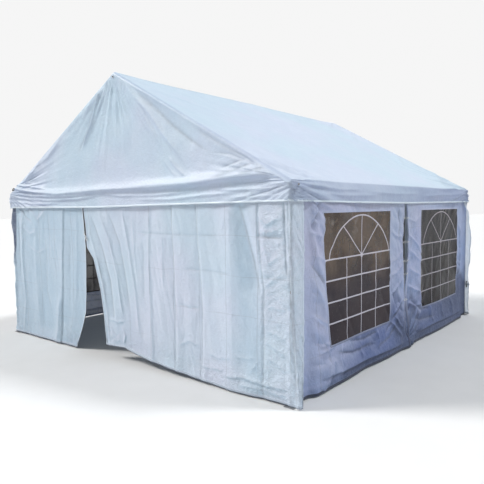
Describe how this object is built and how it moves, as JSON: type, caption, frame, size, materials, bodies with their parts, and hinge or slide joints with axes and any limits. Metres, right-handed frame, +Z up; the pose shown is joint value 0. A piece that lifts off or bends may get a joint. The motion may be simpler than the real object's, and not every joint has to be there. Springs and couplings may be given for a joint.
{
  "type": "marquee tent",
  "caption": "White party marquee with a gabled sheet roof, a straight valance, sheet walls with clear side windows and an unzipped front doorway, on a steel tube frame.",
  "frame": {"origin": "on the ground, under the middle of the tent", "axes": "+X to the right across the front, +Y from the front to the rear, +Z up"},
  "size_m": [5.0478, 5.0478, 3.38],
  "materials": {
    "leg_front_left": "white powder coat on steel tube",
    "eave_connector_front_left": "zinc-plated steel connector",
    "rafter_front_left": "white powder coat on steel tube",
    "leg_front_right": "white powder coat on steel tube",
    "eave_connector_front_right": "zinc-plated steel connector",
    "rafter_front_right": "white powder coat on steel tube",
    "ridge_connector_front": "zinc-plated steel connector",
    "leg_middle_left": "white powder coat on steel tube",
    "eave_connector_middle_left": "zinc-plated steel connector",
    "rafter_middle_left": "white powder coat on steel tube",
    "leg_middle_right": "white powder coat on steel tube",
    "eave_connector_middle_right": "zinc-plated steel connector",
    "rafter_middle_right": "white powder coat on steel tube",
    "ridge_connector_middle": "zinc-plated steel connector",
    "leg_rear_left": "white powder coat on steel tube",
    "eave_connector_rear_left": "zinc-plated steel connector",
    "rafter_rear_left": "white powder coat on steel tube",
    "leg_rear_right": "white powder coat on steel tube",
    "eave_connector_rear_right": "zinc-plated steel connector",
    "rafter_rear_right": "white powder coat on steel tube",
    "ridge_connector_rear": "zinc-plated steel connector",
    "ridge_tube_front": "white powder coat on steel tube",
    "eave_tube_front_left": "white powder coat on steel tube",
    "eave_tube_front_right": "white powder coat on steel tube",
    "cross_bar_front": "white powder coat on steel tube",
    "ridge_tube_rear": "white powder coat on steel tube",
    "eave_tube_rear_left": "white powder coat on steel tube",
    "eave_tube_rear_right": "white powder coat on steel tube",
    "cross_bar_rear": "white powder coat on steel tube",
    "roof_slope_left": "white coated sheet",
    "roof_slope_right": "white coated sheet",
    "gable_front": "white coated sheet",
    "gable_rear": "white coated sheet",
    "front_wall_left": "white coated sheet, slightly bluish",
    "front_wall_right": "white coated sheet, slightly bluish",
    "rear_wall": "white coated sheet, slightly bluish",
    "side_wall_front_left": "white coated sheet, slightly bluish",
    "window_front_left": "clear flexible film",
    "side_wall_rear_left": "white coated sheet, slightly bluish",
    "window_rear_left": "clear flexible film",
    "side_wall_front_right": "white coated sheet, slightly bluish",
    "window_front_right": "clear flexible film",
    "side_wall_rear_right": "white coated sheet, slightly bluish",
    "window_rear_right": "clear flexible film"
  },
  "bodies": {
    "root": {"leg_front_left": "leg_front_left", "eave_connector_front_left": "eave_connector_front_left", "rafter_front_left": "rafter_front_left", "leg_front_right": "leg_front_right", "eave_connector_front_right": "eave_connector_front_right", "rafter_front_right": "rafter_front_right", "ridge_connector_front": "ridge_connector_front", "leg_middle_left": "leg_middle_left", "eave_connector_middle_left": "eave_connector_middle_left", "rafter_middle_left": "rafter_middle_left", "leg_middle_right": "leg_middle_right", "eave_connector_middle_right": "eave_connector_middle_right", "rafter_middle_right": "rafter_middle_right", "ridge_connector_middle": "ridge_connector_middle", "leg_rear_left": "leg_rear_left", "eave_connector_rear_left": "eave_connector_rear_left", "rafter_rear_left": "rafter_rear_left", "leg_rear_right": "leg_rear_right", "eave_connector_rear_right": "eave_connector_rear_right", "rafter_rear_right": "rafter_rear_right", "ridge_connector_rear": "ridge_connector_rear", "ridge_tube_front": "ridge_tube_front", "eave_tube_front_left": "eave_tube_front_left", "eave_tube_front_right": "eave_tube_front_right", "cross_bar_front": "cross_bar_front", "ridge_tube_rear": "ridge_tube_rear", "eave_tube_rear_left": "eave_tube_rear_left", "eave_tube_rear_right": "eave_tube_rear_right", "cross_bar_rear": "cross_bar_rear", "roof_slope_left": "roof_slope_left", "roof_slope_right": "roof_slope_right", "gable_front": "gable_front", "gable_rear": "gable_rear", "front_wall_left": "front_wall_left", "front_wall_right": "front_wall_right", "rear_wall": "rear_wall", "side_wall_front_left": "side_wall_front_left", "window_front_left": "window_front_left", "side_wall_rear_left": "side_wall_rear_left", "window_rear_left": "window_rear_left", "side_wall_front_right": "side_wall_front_right", "window_front_right": "window_front_right", "side_wall_rear_right": "side_wall_rear_right", "window_rear_right": "window_rear_right"}
  },
  "joints": []
}
